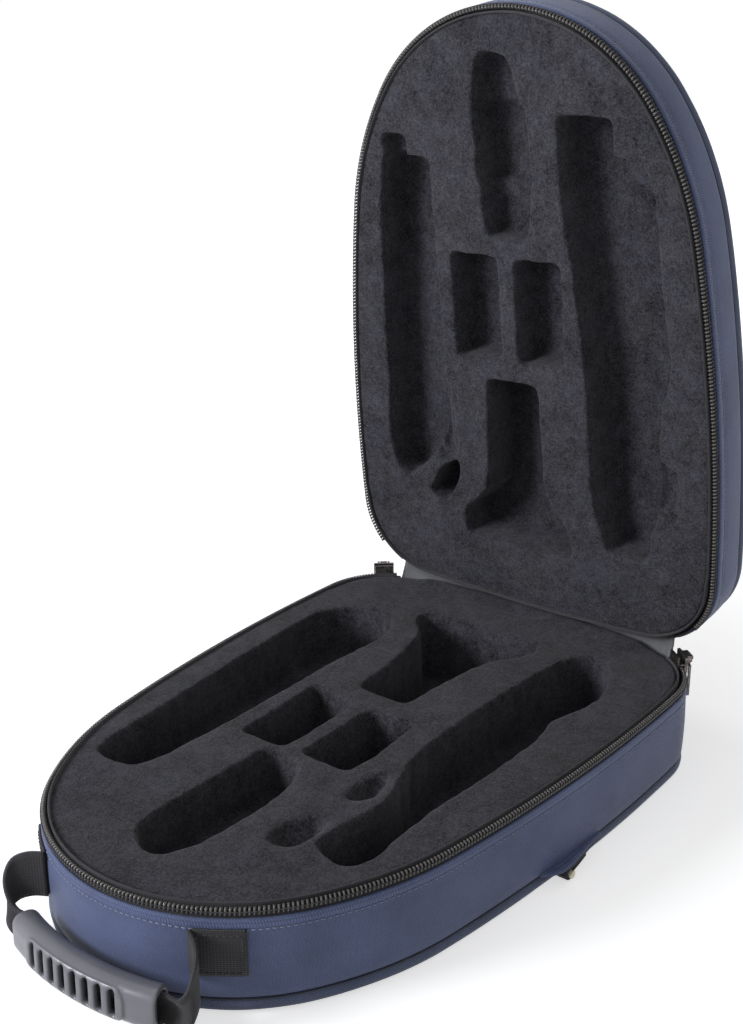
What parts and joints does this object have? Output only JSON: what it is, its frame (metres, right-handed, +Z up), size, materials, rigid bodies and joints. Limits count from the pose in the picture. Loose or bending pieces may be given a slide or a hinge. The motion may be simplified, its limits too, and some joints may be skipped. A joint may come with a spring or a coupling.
{
  "type": "zip case",
  "caption": "Soft zip case for a clarinet, shown open: egg-shaped base and lid on a fabric hinge, plush wells, coil zipper round the rim and a carry handle at the nose.",
  "frame": {"origin": "middle of the base's underside, on the floor, halfway along the rim outline", "axes": "+Z up from the floor. -Y points to the narrow nose with the carry handle, +Y to the hinge. +X is across the case. The lid is stored standing open, 83 degrees from closed."},
  "size_m": [0.2744, 0.4329, 0.4395],
  "materials": {
    "outer_fabric": "woven, matte",
    "outer_fabric_seam": "woven, matte",
    "plush": "short pile",
    "black_binding": "woven tape",
    "webbing": "woven webbing",
    "gusset_fabric": "smooth",
    "foam": "moulded foam",
    "board": "thin ply",
    "zipper_coil": "satin",
    "zipper_metal": "dark nickel",
    "grip_plastic": "moulded, fine grain",
    "bar_metal": "dull"
  },
  "bodies": {
    "base": {"base_floor_board": "board", "base_floor_cover": "outer_fabric", "base_foam_insert": "foam", "base_piping": "outer_fabric_seam", "base_plush_lining": "plush", "base_rim_binding": "black_binding", "base_side_cover": "outer_fabric", "base_wall_frame": "board", "base_zip_coil": "zipper_coil", "base_zip_tape": "black_binding", "handle_anchor_left": "webbing", "handle_anchor_right": "webbing", "hinge_gusset": "gusset_fabric", "strap_bar_left": "bar_metal", "strap_bar_right": "bar_metal", "strap_loop_left": "webbing", "strap_loop_right": "webbing", "strap_wing_left": "outer_fabric", "strap_wing_right": "outer_fabric", "zip_end_stop_left": "zipper_metal", "zip_end_stop_right": "zipper_metal"},
    "lid": {"lid_foam_insert": "foam", "lid_piping": "outer_fabric_seam", "lid_plush_lining": "plush", "lid_rim_binding": "black_binding", "lid_side_cover": "outer_fabric", "lid_top_board": "board", "lid_top_cover": "outer_fabric", "lid_wall_frame": "board", "lid_zip_coil": "zipper_coil", "lid_zip_tape": "black_binding"},
    "handle": {"handle_grip": "grip_plastic", "handle_webbing": "webbing"},
    "zip_slider_right": {"zip_slider_right": "zipper_metal"},
    "zip_pull_right": {"zip_pull_right": "zipper_metal"},
    "zip_slider_left": {"zip_slider_left": "zipper_metal"},
    "zip_pull_left": {"zip_pull_left": "zipper_metal"}
  },
  "joints": [
    {"name": "lid_hinge", "type": "hinge", "parent": "base", "child": "lid", "pos_m": [0, 0.1837, 0.0641], "axis": [-1, 0, 0], "range_deg": [-83, 25], "deforming": ["hinge_gusset"]},
    {"name": "handle_swing", "type": "hinge", "parent": "base", "child": "handle", "pos_m": [0, -0.17866, 0.03451], "axis": [-1, 0, 0], "range_deg": [-3, 80], "deforming": ["handle_webbing"]},
    {"name": "zip_slider_right_travel", "type": "hinge", "parent": "base", "child": "zip_slider_right", "pos_m": [0.08102, 0.13606, 0], "axis": [0, 0, -1], "range_deg": [0, 36]},
    {"name": "zip_pull_right_swing", "type": "hinge", "parent": "zip_slider_right", "child": "zip_pull_right", "pos_m": [0.11787, 0.1777, 0.0616], "axis": [0.749, -0.6626, 0], "range_deg": [0, 110]},
    {"name": "zip_slider_left_travel", "type": "hinge", "parent": "base", "child": "zip_slider_left", "pos_m": [-0.08102, 0.13606, 0], "axis": [0, 0, 1], "range_deg": [0, 36]},
    {"name": "zip_pull_left_swing", "type": "hinge", "parent": "zip_slider_left", "child": "zip_pull_left", "pos_m": [-0.11787, 0.1777, 0.0616], "axis": [0.749, 0.6626, 0], "range_deg": [0, 110]}
  ]
}
